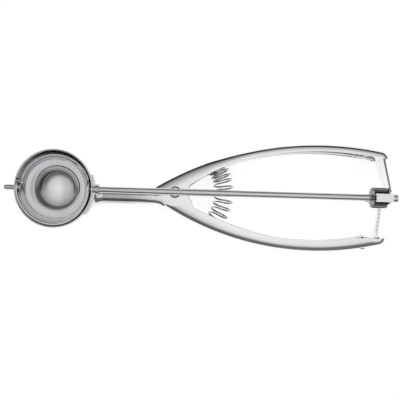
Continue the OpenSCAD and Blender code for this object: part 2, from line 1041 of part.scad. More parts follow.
module pinion_outline() {
    polygon([
        for (k = [0:pinion_teeth - 1])
            let (mid = (k + 0.5) * 360 / pinion_teeth)
            each concat(
                [pinion_root_r * [cos(mid - flank_angle(base_r)), sin(mid - flank_angle(base_r))]],
                [for (r = flank_radii) r * [cos(mid - flank_angle(r)), sin(mid - flank_angle(r))]],
                [for (i = [flank_steps:-1:0])
                    let (r = flank_radii[i])
                    r * [cos(mid + flank_angle(r)), sin(mid + flank_angle(r))]],
                [pinion_root_r * [cos(mid + flank_angle(base_r)), sin(mid + flank_angle(base_r))]]
            )
    ]);
}

module pinion() {
    color("gray")
        placed()
            difference() {
                along_x(pinion_x0)
                    linear_extrude(pinion_w)
                        pinion_outline();
                along_x(0)
                    cylinder(r = rod_r, h = big);
            }
}

module thrust_washer() {
    color("dimgray")
        placed()
            along_x(pinion_x0 + pinion_w)
                difference() {
                    cylinder(r = rod_r + 1.4, h = washer_t);
                    translate([0, 0, -1])
                        cylinder(r = rod_r, h = washer_t + 2);
                }
}

module rod_end_cap() {
    color("silver")
        placed()
            along_x(rod_end_x - cap_len)
                difference() {
                    union() {
                        cylinder(r = cap_r, h = cap_len - 0.5);
                        translate([0, 0, cap_len - 0.5 - eps])
                            cylinder(r1 = cap_r, r2 = cap_r - 0.5, h = 0.5 + eps);
                    }
                    translate([0, 0, -1])
                        cylinder(r = rod_r, h = cap_len);
                }
}

echo(travel = lever_travel, sweep = blade_sweep, ratio = rack_mid_r / pitch_r);
echo(mid = [mid_x, mid_y, bowl_r], pivot = [pivot_x - mid_x, -mid_y], rack_r = rack_mid_r);

bowl();
stem_saddle();
front_bush();
stem();
stem_neck();
fixed_handle();
pivot_rivet();
fixed_spring_seat();
return_spring();
rear_bracket();
bracket_rivets();
rear_bush();
rack_guide();
guide_rivets();
lever_handle();
pivot_spacer();
lever_spring_seat();
rack_bar();
rack_rivets();
scraper_rod();
scraper_blade();
blade_front_pin();
blade_rear_head();
pinion();
thrust_washer();
rod_end_cap();
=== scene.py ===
import json
import math

import bmesh
import bpy
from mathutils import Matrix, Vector

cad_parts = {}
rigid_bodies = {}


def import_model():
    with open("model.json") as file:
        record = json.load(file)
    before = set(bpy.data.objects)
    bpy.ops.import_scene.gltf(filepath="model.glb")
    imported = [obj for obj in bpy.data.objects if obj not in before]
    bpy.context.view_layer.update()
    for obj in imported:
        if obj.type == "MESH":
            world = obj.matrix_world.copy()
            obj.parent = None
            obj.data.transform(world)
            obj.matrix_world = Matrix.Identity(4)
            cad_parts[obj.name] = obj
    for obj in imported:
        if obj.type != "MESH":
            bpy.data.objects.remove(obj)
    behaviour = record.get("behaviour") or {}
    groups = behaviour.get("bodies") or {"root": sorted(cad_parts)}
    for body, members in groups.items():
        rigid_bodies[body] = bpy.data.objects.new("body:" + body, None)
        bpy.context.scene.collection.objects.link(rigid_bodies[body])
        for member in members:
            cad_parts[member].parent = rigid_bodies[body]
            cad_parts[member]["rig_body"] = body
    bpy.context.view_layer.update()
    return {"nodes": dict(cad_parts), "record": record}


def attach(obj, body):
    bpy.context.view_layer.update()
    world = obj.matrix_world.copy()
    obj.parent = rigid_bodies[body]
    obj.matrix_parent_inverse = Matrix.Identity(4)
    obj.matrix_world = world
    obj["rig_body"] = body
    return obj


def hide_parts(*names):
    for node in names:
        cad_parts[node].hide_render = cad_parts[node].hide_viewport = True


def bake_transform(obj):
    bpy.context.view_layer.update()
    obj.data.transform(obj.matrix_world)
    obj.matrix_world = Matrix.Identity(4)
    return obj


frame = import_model()
print("frame loaded:", len(frame["nodes"]), "nodes")

mm = 0.001
mergeGap = 0.002 * mm     # points nearer than this are one
holeSides = 48
rodAxis = Vector((-0.0878, 0.0013, 0.0235))    # middle of the bowl's ball, on the rod
pivotPoint = Vector((-0.0158, 0.0013, 0.00985))


# small tools used by all pieces

def deselectAll():
    if bpy.context.object and bpy.context.object.mode != "OBJECT":
        bpy.ops.object.mode_set(mode="OBJECT")
    bpy.ops.object.select_all(action="DESELECT")


def pickOnly(piece):
    deselectAll()
    piece.select_set(True)
    bpy.context.view_layer.objects.active = piece


def setInPlace(piece):
    pickOnly(piece)
    bpy.ops.object.transform_apply(location=True, rotation=True, scale=True)


def addModifier(piece, kind, **values):
    # adds one modifier with these values and applies it
    pickOnly(piece)
    modifier = piece.modifiers.new(kind.lower(), kind)
    for key, value in values.items():
        setattr(modifier, key, value)
    bpy.ops.object.modifier_apply(modifier=modifier.name)


def smoothPiece(piece, degrees):
    # faces without area go first, then edges flatter than this many degrees shade smoothly
    pickOnly(piece)
    bpy.ops.object.mode_set(mode="EDIT")
    bpy.ops.mesh.select_all(action="SELECT")
    bpy.ops.mesh.dissolve_degenerate(threshold=mergeGap)
    bpy.ops.object.mode_set(mode="OBJECT")
    bpy.ops.object.shade_smooth_by_angle(angle=math.radians(degrees))


def dressPiece(piece, body, slotName, replaced=(), finish=None):
    # material, body and slot of a finished piece
    setInPlace(piece)
    piece.data.materials.clear()
    piece.data.materials.append(finishes[finish or slotName])
    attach(piece, body)
    if replaced:
        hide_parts(*replaced)
    return piece


def drill(piece, radius, length, place, turn=(0, 0, 0)):
    # takes a round hole out of a piece
    deselectAll()
    bpy.ops.mesh.primitive_cylinder_add(vertices=holeSides, radius=radius * mm, depth=length * mm,
                                        location=place, rotation=turn)
    cutter = bpy.context.object
    addModifier(piece, "BOOLEAN", object=cutter, operation="DIFFERENCE", solver="EXACT")
    bpy.data.objects.remove(cutter)


def pointStart(name, point):
    # a piece with a single vertex, from which an outline is drawn
    deselectAll()
    bpy.ops.mesh.primitive_plane_add(size=0.001, location=(0, 0, 0))
    piece = bpy.context.object
    piece.name = name
    piece.data.name = name
    bpy.ops.object.mode_set(mode="EDIT")
    bpy.ops.mesh.select_all(action="SELECT")
    bpy.ops.mesh.merge(type="CENTER")
    bpy.ops.transform.translate(value=point)
    return piece


def turnedPiece(name, outline, centre, axis, steps):
    # outline is a list of (along, radius) points, turned about the axis through centre
    along = Vector(axis)
    out = Vector((0, 1, 0))
    places = [centre + along * a + out * max(r, 0) for a, r in outline]
    piece = pointStart(name, places[0])
    for before, after in zip(places, places[1:]):
        bpy.ops.mesh.extrude_region_move(TRANSFORM_OT_translate={"value": after - before})
    bpy.ops.mesh.select_all(action="SELECT")
    bpy.ops.mesh.spin(steps=steps, angle=math.tau, center=centre, axis=along, dupli=False)
    bpy.ops.mesh.select_all(action="SELECT")
    bpy.ops.mesh.remove_doubles(threshold=mergeGap)
    bpy.ops.mesh.normals_make_consistent(inside=False)
    bpy.ops.object.mode_set(mode="OBJECT")
    return piece


def arcPoints(centreA, centreR, radius, start, end, count):
    # points of an arc in an (along, radius) outline, angles from the along direction
    return [
        (centreA + radius * math.cos(math.radians(start + (end - start) * i / count)),
         centreR + radius * math.sin(math.radians(start + (end - start) * i / count)))
        for i in range(count + 1)
    ]


# steel finishes, one for each material slot, and two darkened copies of polished steel for the stem and
# its flare, whose dark base is a painted dark reflection

noiseFrom, noiseTo = 0.3, 0.7     # the part of the noise that is used
bumpHeight = 0.02 * mm


def newFinish(name, base, roughness):
    finish = bpy.data.materials.new(name)
    finish.use_nodes = True
    finish.diffuse_color = (*base, 1)
    shader = finish.node_tree.nodes["Principled BSDF"]
    shader.inputs["Metallic"].default_value = 1
    shader.inputs["Base Color"].default_value = (*base, 1)
    shader.inputs["Roughness"].default_value = roughness
    return finish, finish.node_tree.nodes, finish.node_tree.links, shader


def steelFinish(name, look):
    # look: base colour, shade spread, roughness spread, grain direction stretch, bump height
    finish, nodes, links, shader = newFinish(name, look["base"], look["rough"][0])
    coords = nodes.new("ShaderNodeTexCoord")
    mapping = nodes.new("ShaderNodeMapping")
    mapping.inputs["Scale"].default_value = look["stretch"]
    links.new(coords.outputs["Object"], mapping.inputs["Vector"])

    grain = nodes.new("ShaderNodeTexNoise")
    grain.inputs["Scale"].default_value = look["grain"]
    grain.inputs["Detail"].default_value = 4
    grain.inputs["Roughness"].default_value = 0.6
    links.new(mapping.outputs["Vector"], grain.inputs["Vector"])

    clouds = nodes.new("ShaderNodeTexNoise")
    clouds.inputs["Scale"].default_value = look["clouds"]
    clouds.inputs["Detail"].default_value = 3
    links.new(coords.outputs["Object"], clouds.inputs["Vector"])

    tint = nodes.new("ShaderNodeValToRGB")
    low, high = look["shade"]
    tint.color_ramp.elements[0].position = noiseFrom
    tint.color_ramp.elements[0].color = (*[c * low for c in look["base"]], 1)
    tint.color_ramp.elements[1].position = noiseTo
    tint.color_ramp.elements[1].color = (*[min(1, c * high) for c in look["base"]], 1)
    links.new(clouds.outputs["Fac"], tint.inputs["Fac"])
    if "fade" in look:
        # the colour goes over into another one along the object's length; on the flare this takes the
        # painted dark reflection of the stem end over into the handle's lighter tone
        split = nodes.new("ShaderNodeSeparateXYZ")
        links.new(coords.outputs["Object"], split.inputs["Vector"])
        along = nodes.new("ShaderNodeMapRange")
        along.inputs["From Min"].default_value = look["fade"][0]
        along.inputs["From Max"].default_value = look["fade"][1]
        links.new(split.outputs["X"], along.inputs["Value"])
        change = nodes.new("ShaderNodeMix")
        change.data_type = "RGBA"
        change.inputs[7].default_value = (*look["fadeTo"], 1)
        links.new(along.outputs["Result"], change.inputs["Factor"])
        links.new(tint.outputs["Color"], change.inputs[6])
        links.new(change.outputs[2], shader.inputs["Base Color"])
    else:
        links.new(tint.outputs["Color"], shader.inputs["Base Color"])

    mixer = nodes.new("ShaderNodeMix")
    mixer.inputs["Factor"].default_value = 0.5
    links.new(grain.outputs["Fac"], mixer.inputs["A"])
    links.new(clouds.outputs["Fac"], mixer.inputs["B"])
    wear = nodes.new("ShaderNodeMapRange")
    wear.inputs["From Min"].default_value = noiseFrom
    wear.inputs["From Max"].default_value = noiseTo
    wear.inputs["To Min"].default_value = look["rough"][0]
    wear.inputs["To Max"].default_value = look["rough"][1]
    links.new(mixer.outputs["Result"], wear.inputs["Value"])
    links.new(wear.outputs["Result"], shader.inputs["Roughness"])

    bump = nodes.new("ShaderNodeBump")
    bump.inputs["Strength"].default_value = look["bump"]
    bump.inputs["Distance"].default_value = bumpHeight
    links.new(grain.outputs["Fac"], bump.inputs["Height"])
    links.new(bump.outputs["Normal"], shader.inputs["Normal"])
    return finish


finishLooks = {
    "polished_steel": dict(base=(0.80, 0.80, 0.81), shade=(0.97, 1.03), rough=(0.035, 0.08),
                           stretch=(1, 1, 1), grain=900, clouds=45, bump=0.02),
    # the stem's base is darker than the polished steel it is made of: a painted dark reflection of the dim
    # surroundings
    "stem_steel_painted_dark": dict(base=(0.56, 0.56, 0.57), shade=(0.97, 1.03), rough=(0.06, 0.12),
                       stretch=(1, 6, 6), grain=500, clouds=45, bump=0.03),
    # the flare's base is the stem's painted dark reflection at the stem end, fading along its length to
    # the handle's lighter tone
    "flare_steel_painted_dark": dict(base=(0.56, 0.56, 0.57), shade=(0.97, 1.03), rough=(0.06, 0.12),
                        stretch=(1, 6, 6), grain=500, clouds=45, bump=0.03,
                        fade=(-0.044, -0.028), fadeTo=(0.90, 0.90, 0.91)),
    "pressed_steel": dict(base=(0.90, 0.90, 0.91), shade=(0.96, 1.03), rough=(0.05, 0.12),
                          stretch=(1, 4, 4), grain=500, clouds=38, bump=0.03),
    "rod_steel": dict(base=(0.68, 0.68, 0.69), shade=(0.95, 1.03), rough=(0.06, 0.14),
                      stretch=(1, 14, 14), grain=260, clouds=60, bump=0.05),
    "blade_steel": dict(base=(0.76, 0.76, 0.77), shade=(0.95, 1.03), rough=(0.06, 0.14),
                        stretch=(6, 1, 6), grain=400, clouds=80, bump=0.04),
    "machined_steel": dict(base=(0.62, 0.62, 0.63), shade=(0.9, 1.05), rough=(0.12, 0.24),
                           stretch=(10, 1, 1), grain=500, clouds=150, bump=0.08),
    "gear_steel": dict(base=(0.26, 0.26, 0.27), shade=(0.85, 1.08), rough=(0.16, 0.30),
                       stretch=(1, 6, 6), grain=600, clouds=160, bump=0.1),
    "spring_steel": dict(base=(0.58, 0.58, 0.59), shade=(0.9, 1.06), rough=(0.10, 0.20),
                         stretch=(1, 1, 1), grain=900, clouds=140, bump=0.05),
}
finishes = {name: steelFinish(name, look) for name, look in finishLooks.items()}
print("finishes made:", len(finishes))


# camera, light and floor

stageLook = {
    "cameraPlace": (-0.0004, -0.0031, 0.2935),
    "cameraTurn": 1.71,
    "viewAngle": 47.9,
    "floorSize": 6.0,
    "floorZ": -0.00005,
    "floorShade": 0.5,
    "floorGlow": 0.82,
}

# stops of brightness by height above the horizon, in degrees, towards -Y and towards +Y
worldLook = {
    "nearSide": [(-90, 0.9), (-15, 0.85), (-4, 0.5), (2, 0.15), (41, 0.16),
                 (47, 0.34), (53, 0.64), (61, 0.78), (74, 0.86), (90, 0.92)],
    "farSide": [(-90, 0.2), (-20, 0.04), (0, 0.02), (18, 0.04), (27, 0.18), (34, 0.36),
                (46, 0.54), (60, 0.72), (72, 0.82), (84, 0.88), (90, 0.95)],
    "turnWidth": 0.4,
    "dullFrom": (-0.3, 0.1),
    "dullEnd": 0.78,
}


def addCamera():
    bpy.ops.object.camera_add(location=stageLook["cameraPlace"],
                              rotation=(0, 0, math.radians(stageLook["cameraTurn"])))
    camera = bpy.context.object
    camera.data.sensor_width = 36
    camera.data.lens = 18 / math.tan(math.radians(stageLook["viewAngle"] / 2))
    camera.data.clip_start = 0.01
    bpy.context.scene.camera = camera


def addRamp(nodes, stops):
    # stops are (height above the horizon in degrees, brightness)
    ramp = nodes.new("ShaderNodeValToRGB")
    elements = ramp.color_ramp.elements
    places = [((math.sin(math.radians(height)) + 1) / 2, (shade, shade, shade, 1))
              for height, shade in stops]
    elements[0].position, elements[0].color = places[0]
    elements[1].position, elements[1].color = places[-1]
    for place, shade in places[1:-1]:
        elements.new(place).color = shade
    return ramp


def addWorld():
    # a white tent, open and dark low down, darkest on its far side and a little duller towards
    # the bowl's end; the camera itself sees white
    world = bpy.data.worlds.new("studio")
    bpy.context.scene.world = world
    world.use_nodes = True
    nodes, links = world.node_tree.nodes, world.node_tree.links
    coords = nodes.new("ShaderNodeTexCoord")
    split = nodes.new("ShaderNodeSeparateXYZ")
    links.new(coords.outputs["Generated"], split.inputs["Vector"])
    half = nodes.new("ShaderNodeMapRange")
    half.inputs["From Min"].default_value = -1
    half.inputs["From Max"].default_value = 1
    links.new(split.outputs["Z"], half.inputs["Value"])
    sides = []
    for side in ("nearSide", "farSide"):
        ramp = addRamp(nodes, worldLook[side])
        links.new(half.outputs["Result"], ramp.inputs["Fac"])
        sides.append(ramp)
    turn = nodes.new("ShaderNodeMapRange")
    turn.interpolation_type = "SMOOTHSTEP"
    turn.inputs["From Min"].default_value = -worldLook["turnWidth"]
    turn.inputs["From Max"].default_value = worldLook["turnWidth"]
    links.new(split.outputs["Y"], turn.inputs["Value"])
    blend = nodes.new("ShaderNodeMix")
    blend.data_type = "RGBA"
    links.new(turn.outputs["Result"], blend.inputs["Factor"])
    links.new(sides[0].outputs["Color"], blend.inputs[6])
    links.new(sides[1].outputs["Color"], blend.inputs[7])
    tent = nodes["Background"]
    links.new(blend.outputs[2], tent.inputs["Color"])
    dull = nodes.new("ShaderNodeMapRange")
    dull.interpolation_type = "SMOOTHSTEP"
    dull.inputs["From Min"].default_value = worldLook["dullFrom"][0]
    dull.inputs["From Max"].default_value = worldLook["dullFrom"][1]
    dull.inputs["To Min"].default_value = worldLook["dullEnd"]
    links.new(split.outputs["X"], dull.inputs["Value"])
    links.new(dull.outputs["Result"], tent.inputs["Strength"])
    plain = nodes.new("ShaderNodeBackground")
    plain.inputs["Color"].default_value = (1, 1, 1, 1)
    path = nodes.new("ShaderNodeLightPath")
    mix = nodes.new("ShaderNodeMixShader")
    links.new(path.outputs["Is Camera Ray"], mix.inputs["Fac"])
    links.new(tent.outputs["Background"], mix.inputs[1])
    links.new(plain.outputs["Background"], mix.inputs[2])
    links.new(mix.outputs["Shader"], nodes["World Output"].inputs["Surface"])


def addFloor():
    deselectAll()
    bpy.ops.mesh.primitive_plane_add(size=stageLook["floorSize"], location=(0, 0, stageLook["floorZ"]))
    floor = bpy.context.object
    floor.name = "table"
    material = bpy.data.materials.new("tablePaper")
    material.use_nodes = True
    nodes, links = material.node_tree.nodes, material.node_tree.links
    shader = nodes["Principled BSDF"]
    shade = stageLook["floorShade"]
    shader.inputs["Base Color"].default_value = (shade, shade, shade, 1)
    shader.inputs["Roughness"].default_value = 0.9
    shader.inputs["Specular IOR Level"].default_value = 0
    glow = nodes.new("ShaderNodeEmission")
    path = nodes.new("ShaderNodeLightPath")
    seen = nodes.new("ShaderNodeMath")
    seen.operation = "MAXIMUM"
    links.new(path.outputs["Is Camera Ray"], seen.inputs[0])
    links.new(path.outputs["Is Glossy Ray"], seen.inputs[1])
    through = nodes.new("ShaderNodeMath")
    through.operation = "MAXIMUM"
    links.new(seen.outputs["Value"], through.inputs[0])
    links.new(path.outputs["Is Transmission Ray"], through.inputs[1])
    strength = nodes.new("ShaderNodeMath")
    strength.operation = "MULTIPLY"
    strength.inputs[1].default_value = stageLook["floorGlow"]
    links.new(through.outputs["Value"], strength.inputs[0])
    links.new(strength.outputs["Value"], glow.inputs["Strength"])
    both = nodes.new("ShaderNodeAddShader")
    links.new(shader.outputs["BSDF"], both.inputs[0])
    links.new(glow.outputs["Emission"], both.inputs[1])
    links.new(both.outputs["Shader"], nodes["Material Output"].inputs["Surface"])
    floor.data.materials.append(material)


addCamera()
addWorld()
addFloor()
bpy.context.scene.view_settings.view_transform = "Standard"
print("camera, light and floor set")


# pressed and turned pieces that keep the shape of their solid

keptShapes = {
    "stem_saddle": dict(piece="saddlePlate", edge=0.12),
    "front_bush": dict(piece="rodCollar", edge=0.08),
    # the stem takes the darkened polished steel, a painted dark reflection
    "stem": dict(piece="roundStem", edge=0.0, finish="stem_steel_painted_dark"),
    "pivot_rivet": dict(piece="pivotRivet", edge=0.0, finish="pressed_steel",
                        shank=2.55, headOnSolid=5.0, head=3.75),
    "fixed_spring_seat": dict(piece="upperSpringSeat", edge=0.12),
    "rear_bracket": dict(piece="rodBracket", edge=0.12),
    "bracket_rivets": dict(piece="bracketRivets", edge=0.05),
    "rear_bush": dict(piece="rearCollar", edge=0.06),
    "rack_guide": dict(piece="barKeeper", edge=0.1),
    "guide_rivets": dict(piece="keeperRivet", edge=0.05),
    "pivot_spacer": dict(piece="pivotTube", edge=0.08),
    "lever_spring_seat": dict(piece="lowerSpringSeat", edge=0.12),
    "rack_bar": dict(piece="toothedBar", edge=0.0),
    "rack_rivets": dict(piece="barRivets", edge=0.05, finish="pressed_steel",
                        leverFace=-31.8, standOut=0.35),
    "scraper_rod": dict(piece="longRod", edge=0.08),
    "scraper_blade": dict(piece="sweepBlade", edge=0.12),
    "blade_front_pin": dict(piece="frontPin", edge=0.0),
    "blade_rear_head": dict(piece="bladeHead", edge=0.08),
    "pinion": dict(piece="toothedWheel", edge=0.08),
    "thrust_washer": dict(piece="thinWasher", edge=0.04),
    "rod_end_cap": dict(piece="endCap", edge=0.0),
}
flatWithin = 0.4    # degrees between faces that count as one
sharpOver = 40      # degrees at an edge that gets broken
smoothUnder = 32    # degrees at an edge that shades smoothly
creaseWeight = 60   # how strongly large faces lead the shading
slotOf = {part["node"]: part["material_slot"] for part in frame["record"]["subparts"]}
bodyOf = {node: frame["nodes"][node]["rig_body"] for node in frame["nodes"]}


def keptPiece(node, look):
    # a merged copy of the solid, its flat faces joined and its edges broken
    deselectAll()
    source = frame["nodes"][node]
    piece = bpy.data.objects.new(look["piece"], source.data.copy())
    piece.data.name = look["piece"]
    bpy.context.scene.collection.objects.link(piece)
    pickOnly(piece)
    bpy.ops.mesh.customdata_custom_splitnormals_clear()
    bpy.ops.object.mode_set(mode="EDIT")
    bpy.ops.mesh.select_all(action="SELECT")
    bpy.ops.mesh.remove_doubles(threshold=mergeGap)
    bpy.ops.mesh.dissolve_limited(angle_limit=math.radians(flatWithin))
    bpy.ops.object.mode_set(mode="OBJECT")
    if look["edge"]:
        addModifier(piece, "BEVEL", width=look["edge"] * mm, segments=2,
                    limit_method="ANGLE", angle_limit=math.radians(sharpOver), harden_normals=False)
    smoothPiece(piece, smoothUnder)
    addModifier(piece, "WEIGHTED_NORMAL", keep_sharp=True, weight=creaseWeight)
    return dressPiece(piece, bodyOf[node], slotOf[node], (node,), look.get("finish"))


def drawInHeads(piece, look):
    # the rivet's round heads get a smaller radius, its shank keeps its own
    shank = look["shank"]
    for vert in piece.data.vertices:
        flat = (vert.co - pivotPoint).xy / mm
        if flat.length > shank:
            radius = shank + (flat.length - shank) * (look["head"] - shank) / (look["headOnSolid"] - shank)
            vert.co.x = pivotPoint.x + flat.x / flat.length * radius * mm
            vert.co.y = pivotPoint.y + flat.y / flat.length * radius * mm


def lowerHeads(piece, look):
    # the heads outside the lever stand out less than on the solid
    for vert in piece.data.vertices:
        over = (vert.co.y - rodAxis.y) / mm - look["leverFace"]
        if over < 0:
            vert.co.y -= over * (1 - look["standOut"]) * mm


for node, look in keptShapes.items():
    kept = keptPiece(node, look)
    if "standOut" in look:
        lowerHeads(kept, look)
    if "head" in look:
        drawInHeads(kept, look)
print("kept shapes:", len(keptShapes))


# the two handles, sizes in mm from the middle of the bowl's ball

handleLooks = {
    "upperHandle": {
        "node": "fixed_handle", "body": "frame", "side": 1,
        "curveCentre": (163.0, -163.1), "curveRadius": 195.0, "halfBreadth": 9.85,
        "frontX": 60.0, "frontAngle": 124.5, "endX": 197.3, "endLip": 4.4, "endRadius": 4.9,
        "eyeCentre": (147.6, -87.6), "eyeRadius": 113.6, "lipDepth": 4.4, "lipFromX": 125.0,
        "lugRadius": 8.75, "crownDrop": 2.1, "crownEnd": 46.0, "edge": 0.5,
        "corner": None, "lowLine": ((60.0, -8.2), (67.0, -9.4)),
    },
    "lowerHandle": {
        "node": "lever_handle", "body": "lever", "side": -1,
        "curveCentre": (156.5, 140.0), "curveRadius": 174.5, "halfBreadth": 8.45,
        "frontX": 66.0, "frontAngle": -125.5, "endX": 197.6, "endLip": 4.4, "endRadius": 4.9,
        "eyeCentre": (176.0, 178.3), "eyeRadius": 208.9, "lipDepth": 6.6, "lipFromX": None,
        "lugRadius": 6.13, "crownDrop": 3.65, "crownEnd": 90.0, "edge": 0.3,
        "corner": ((75.0, -9.0), 8.05), "lowLine": None,
    },
}
handleSection = {
    "sheet": 1.2, "crownDepth": 3.75, "crownMost": 6.0, "crownShare": 0.85, "sideDepth": 4.0,
    "lowRound": 4.4, "lowRoundTo": 65.5, "lowRoundFade": 3.0, "cheekAbove": 5.0, "endSlope": 0.6,
    "pivotX": 72.0, "pivotHole": 2.53, "holeDepth": 30.0,
    "shoulderSteps": 12, "sideSteps": 10, "backSteps": 4, "curveSteps": 110, "endSteps": 14,
    "edgeSteps": 3, "edgeOver": 50, "smoothUnder": 35,
}
layerZ = -13.65     # middle of the handles' breadth, below the rod
farDepth = 60.0     # deeper than any folded side
hair = 0.001        # mm
sameAngle = 1e-4


def crossing(centre, radius, start, direction):
    # how far from start along direction a circle is met, nearest and farthest, or None
    away = start - centre
    along = away.dot(direction)
    rest = along * along - away.length_squared + radius * radius
    if rest < 0:
        return None
    return -along - math.sqrt(rest), -along + math.sqrt(rest)


def sideDepth(look, angle):
    # how deep the handle's folded side reaches in from the outer curve at this angle
    outward = Vector((math.cos(angle), math.sin(angle)))
    start = Vector(look["curveCentre"]) + outward * look["curveRadius"]
    inward = -outward
    eye = crossing(Vector(look["eyeCentre"]), look["eyeRadius"], start, inward)
    depth = eye[0] if eye and eye[0] > 0 else farDepth
    if look["lowLine"]:
        (x0, y0), (x1, y1) = look["lowLine"]
        slope = (y1 - y0) / (x1 - x0)
        down = (y0 + slope * (start.x - x0) - start.y) / (inward.y - slope * inward.x)
        if (start + inward * down).x < x1 + 1:
            depth = min(depth, down)
        if (start + inward * depth).x > look["lipFromX"]:
            depth = min(depth, look["lipDepth"])
    else:
        depth = max(depth, look["lipDepth"])
    depth = min(depth, look["endLip"] + handleSection["endSlope"] * max(0, look["endX"] - start.x))
    for disc in (((handleSection["pivotX"], 0.0), look["lugRadius"]), look["corner"]):
        met = disc and crossing(Vector(disc[0]), disc[1], start, inward)
        if met:
            depth = max(depth, met[1])
    return depth


def crownDropAt(look, depth, deepest):
    # how far the crown has fallen at this depth from the outer edge
    end = math.radians(look["crownEnd"])
    a = math.asin(max(0, 1 - depth / deepest) * math.sin(end))
    return look["crownDrop"] * (1 - math.cos(a)) / (1 - math.cos(end))


def sectionPoints(look, nominal):
    # closed outline of the folded sheet as (depth from the outer curve, height from the middle)
    shape = handleSection
    points = []
    for inset in (0, shape["sheet"]):
        half = look["halfBreadth"] - inset
        deep, end = shape["crownDepth"], math.radians(look["crownEnd"])
        run = []
        for i in range(shape["sideSteps"]):
            run.append((nominal + (deep - nominal) * i / shape["sideSteps"], half))
        for i in range(shape["shoulderSteps"] + 1):
            depth = deep - (deep - inset) * math.sin(end * i / shape["shoulderSteps"]) / math.sin(end)
            run.append((depth, half - crownDropAt(look, depth - inset, deep - inset)))
        top = run[-1][1]
        for i in range(1, shape["backSteps"]):
            run.append((inset, top - 2 * top * i / shape["backSteps"]))
        upper = run[:shape["sideSteps"] + shape["shoulderSteps"] + 1]
        run += [(depth, -height) for depth, height in reversed(upper)]
        points += run if inset == 0 else list(reversed(run))
    return points


def makeHandle(name):
    look, shape = handleLooks[name], handleSection
    centre = rodAxis + Vector((*look["curveCentre"], layerZ)) * mm
    radius = look["curveRadius"]
    nominal = shape["crownDepth"] + shape["sideDepth"]
    start = math.radians(look["frontAngle"])
    endX, endRadius = look["endX"], look["endRadius"]
    span = radius - endRadius
    sideways = endX - look["curveCentre"][0]
    endY = look["curveCentre"][1] + look["side"] * math.sqrt(span * span - sideways * sideways)
    stop = math.atan2(endY - look["curveCentre"][1], sideways)

    outward = Vector((math.cos(start), math.sin(start), 0))
    places = [centre + (outward * (radius - depth) + Vector((0, 0, height))) * mm
              for depth, height in sectionPoints(look, nominal)]
    piece = pointStart(name, places[0])
    for before, after in zip(places, places[1:]):
        bpy.ops.mesh.extrude_region_move(TRANSFORM_OT_translate={"value": after - before})
    mesh = bmesh.from_edit_mesh(piece.data)
    mesh.verts.ensure_lookup_table()
    for i, vert in enumerate(mesh.verts):
        vert.select = i in (0, len(mesh.verts) - 1)
    bmesh.update_edit_mesh(piece.data)
    bpy.ops.mesh.edge_face_add()
    bpy.ops.mesh.select_all(action="SELECT")
    bpy.ops.mesh.spin(steps=shape["curveSteps"], angle=start - stop, center=centre, axis=(0, 0, 1))

    # the folded sides reach as deep as the lip line asks, and the crown widens with them
    mesh = bmesh.from_edit_mesh(piece.data)
    sheet, deep = shape["sheet"], shape["crownDepth"]
    for vert in mesh.verts:
        flat = (vert.co - centre) / mm
        depth = radius - math.hypot(flat.x, flat.y)
        outside = abs(flat.z) > look["halfBreadth"] - crownDropAt(look, depth, deep) - sheet / 3
        inset = 0 if outside else sheet
        if depth > inset + hair:
            angle = math.atan2(flat.y, flat.x)
            asked = sideDepth(look, angle)
            crown = min(max(asked * shape["crownShare"], deep), shape["crownMost"])
            if depth > deep:
                reach = crown + (depth - deep) / (nominal - deep) * (asked - crown)
            else:
                reach = inset + (depth - inset) / (deep - inset) * (crown - inset)
            place = (radius - reach) * mm
            vert.co.x = centre.x + math.cos(angle) * place
            vert.co.y = centre.y + math.sin(angle) * place
    if look["lowLine"]:
        # the upper cheek's low edge is rounded on, as the flare's is
        (x0, y0), (x1, y1) = look["lowLine"]
        fall = shape["lowRound"]
        for vert in mesh.verts:
            place = (vert.co - rodAxis) / mm
            above = place.y - (y0 + (y1 - y0) * (place.x - x0) / (x1 - x0))
            onCheek = place.z > layerZ + shape["cheekAbove"] and place.x < shape["lowRoundTo"]
            if onCheek and above < fall:
                fade = min(1, (shape["lowRoundTo"] - place.x) / shape["lowRoundFade"])
                rise = max(0, fall - max(0, above))
                vert.co.z -= (fall - math.sqrt(fall * fall - rise * rise)) * fade * mm
    # the last section is turned in to close the handle's end
    for vert in mesh.verts:
        flat = vert.co - centre
        vert.select = abs(math.atan2(flat.y, flat.x) - stop) < sameAngle
    mesh.select_flush_mode()
    bmesh.update_edit_mesh(piece.data)
    turnCentre = rodAxis + Vector((endX, endY, layerZ)) * mm
    bpy.ops.mesh.spin(steps=shape["endSteps"], angle=stop, center=turnCentre, axis=(0, 0, 1))
    bpy.ops.mesh.select_all(action="SELECT")
    bpy.ops.mesh.remove_doubles(threshold=mergeGap)
    bpy.ops.mesh.fill_holes(sides=0)
    bpy.ops.mesh.select_all(action="SELECT")
    bpy.ops.mesh.bisect(plane_co=rodAxis + Vector((look["frontX"], 0, 0)) * mm, plane_no=(1, 0, 0),
                        use_fill=True, clear_inner=True)
    bpy.ops.mesh.select_all(action="SELECT")
    bpy.ops.mesh.fill_holes(sides=0)
    bpy.ops.mesh.normals_make_consistent(inside=False)
    bpy.ops.object.mode_set(mode="OBJECT")

    drill(piece, shape["pivotHole"], shape["holeDepth"], pivotPoint)
    # a sliver at the front cut can get lost in the drilling, and is filled again
    pickOnly(piece)
    bpy.ops.object.mode_set(mode="EDIT")
    bpy.ops.mesh.select_all(action="SELECT")
    bpy.ops.mesh.fill_holes(sides=0)
    bpy.ops.object.mode_set(mode="OBJECT")
    addModifier(piece, "BEVEL", width=look["edge"] * mm, segments=shape["edgeSteps"],
                limit_method="ANGLE", angle_limit=math.radians(shape["edgeOver"]))
    smoothPiece(piece, shape["smoothUnder"])
    addModifier(piece, "WEIGHTED_NORMAL", keep_sharp=True, weight=creaseWeight)
    return dressPiece(piece, look["body"], "pressed_steel", (look["node"],))


for name in handleLooks:
    handle = makeHandle(name)
    print(name, "made:", len(handle.data.polygons), "faces")


# flare between the stem and the upper handle

